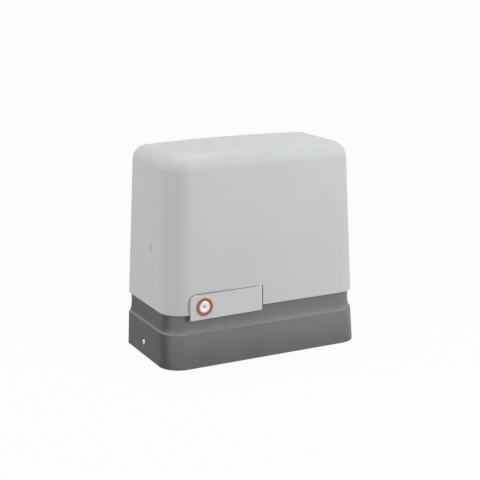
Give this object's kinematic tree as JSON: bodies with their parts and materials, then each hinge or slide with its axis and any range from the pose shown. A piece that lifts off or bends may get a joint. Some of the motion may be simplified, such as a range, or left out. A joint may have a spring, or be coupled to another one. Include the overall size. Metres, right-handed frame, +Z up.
{
  "type": "sliding gate motor",
  "caption": "Sliding gate motor: grey die-cast base, lift-off light grey hood, keyed release lever, worm gearbox and rack pinion.",
  "frame": {"origin": "centre of the base's underside, in the middle of the four mounting holes", "axes": "+X along the front to the right, +Y towards the gate where the pinion stands out, +Z up"},
  "size_m": [0.31, 0.1895, 0.2973],
  "materials": {
    "bearing_steel": "ground bearing steel",
    "black_plastic": "black moulded plastic",
    "black_rubber": "moulded rubber",
    "board_laminate": "lacquered board",
    "bright_steel": "zinc-plated steel",
    "bronze": "machined bronze",
    "can_aluminium": "drawn can",
    "cast_alloy": "as-cast alloy",
    "cast_grey_paint": "satin grey paint on die-cast aluminium",
    "copper_winding": "varnished copper winding",
    "dark_steel": "machined steel",
    "gasket_paper": "gasket sheet",
    "green_plastic": "green terminal plastic",
    "hood_plastic": "satin light grey moulded plastic",
    "lamination_steel": "stacked laminations",
    "lever_plastic": "satin light grey moulded plastic",
    "lock_chrome": "polished lock face",
    "orange_plastic": "orange-red ring",
    "tape_yellow": "wound tape",
    "white_plastic": "white moulded plastic"
  },
  "bodies": {
    "housing": {"base_casting": "cast_grey_paint", "side_screws": "bright_steel", "levelling_screws": "dark_steel", "cable_grommet": "black_rubber", "gear_case": "cast_alloy", "gearbox_side_cover": "cast_alloy", "gearbox_gasket": "gasket_paper", "gearbox_screws": "bright_steel", "front_shaft_bearing": "bearing_steel", "rear_shaft_bearing": "bearing_steel", "shaft_oil_seal": "black_rubber", "lower_worm_bearing": "bearing_steel", "upper_worm_bearing": "bearing_steel", "release_bracket": "dark_steel", "lever_hinge_pin": "bright_steel", "lower_end_shield": "cast_alloy", "stator_stack": "lamination_steel", "stator_windings": "copper_winding", "upper_end_shield": "cast_alloy", "rotor_top_bearing": "bearing_steel", "motor_tie_bolts": "bright_steel", "run_capacitor": "white_plastic", "capacitor_cup": "black_plastic", "mains_transformer": "tape_yellow", "transformer_washer": "dark_steel", "board_tray": "black_plastic", "control_board": "board_laminate", "terminal_strip": "green_plastic", "motor_relays": "black_plastic", "fuse_holder": "white_plastic", "logic_processor": "black_plastic", "receiver_module": "green_plastic", "smoothing_capacitors": "can_aluminium", "trim_potentiometers": "white_plastic", "limit_switch_body": "black_plastic", "limit_pivot_pin": "bright_steel"},
    "motor_rotor": {"rotor_cage": "cast_alloy", "motor_worm_shaft": "dark_steel", "cooling_fan": "black_plastic"},
    "worm_wheel": {"worm_wheel_rim": "bronze", "worm_wheel_hub": "dark_steel", "wheel_bush": "bronze"},
    "output_drive": {"output_shaft": "dark_steel", "shaft_key": "bright_steel", "wheel_circlip": "dark_steel", "rack_pinion": "dark_steel", "pinion_washer": "bright_steel", "pinion_bolt": "bright_steel"},
    "dog_clutch": {"clutch_sleeve": "dark_steel", "clutch_cross_pin": "bright_steel"},
    "release_rod": {"release_pull_rod": "bright_steel", "pull_rod_collar": "bright_steel"},
    "lever": {"release_lever": "lever_plastic", "lock_bezel_ring": "orange_plastic"},
    "key_lock": {"lock_barrel": "lock_chrome", "lock_tongue": "bright_steel"},
    "limit_feeler": {"limit_spring_whisker": "bright_steel", "limit_lever_head": "black_plastic"},
    "hood": {"hood": "hood_plastic"}
  },
  "joints": [
    {"name": "motor_spin", "type": "hinge", "parent": "housing", "child": "motor_rotor", "pos_m": [-0.05, 0.014, 0.096], "axis": [0, 0, 1], "continuous": true},
    {"name": "worm_wheel_spin", "type": "hinge", "parent": "housing", "child": "worm_wheel", "pos_m": [0, 0.014, 0.096], "axis": [0, 1, 0], "continuous": true},
    {"name": "output_spin", "type": "hinge", "parent": "housing", "child": "output_drive", "pos_m": [0, 0.094, 0.096], "axis": [0, 1, 0], "continuous": true},
    {"name": "clutch_slide", "type": "slide", "parent": "output_drive", "child": "dog_clutch", "axis": [0, -1, 0], "range_m": [0, 0.007]},
    {"name": "pull_rod_slide", "type": "slide", "parent": "housing", "child": "release_rod", "axis": [0, -1, 0], "range_m": [0, 0.007]},
    {"name": "lever_swing", "type": "hinge", "parent": "housing", "child": "lever", "pos_m": [-0.012, -0.0682, 0.0875], "axis": [0, 0, 1], "range_deg": [0, 90]},
    {"name": "lock_turn", "type": "hinge", "parent": "lever", "child": "key_lock", "pos_m": [-0.0996, -0.075, 0.0876], "axis": [0, -1, 0], "range_deg": [0, 90]},
    {"name": "limit_tilt", "type": "hinge", "parent": "housing", "child": "limit_feeler", "pos_m": [0.024, 0.068, 0.156], "axis": [0, 0, 1], "range_deg": [-30, 30], "stiffness_Nm_per_rad": 0.05},
    {"name": "hood_lift", "type": "slide", "parent": "housing", "child": "hood", "axis": [0, 0, 1], "range_m": [0, 0.23]}
  ],
  "couplings": [
    {"joint": "worm_wheel_spin", "follows": "motor_spin", "ratio": -0.033333},
    {"joint": "output_spin", "follows": "motor_spin", "ratio": -0.033333},
    {"joint": "clutch_slide", "follows": "lever_swing", "m_per_rad": 0.0044563},
    {"joint": "pull_rod_slide", "follows": "lever_swing", "m_per_rad": 0.0044563}
  ]
}
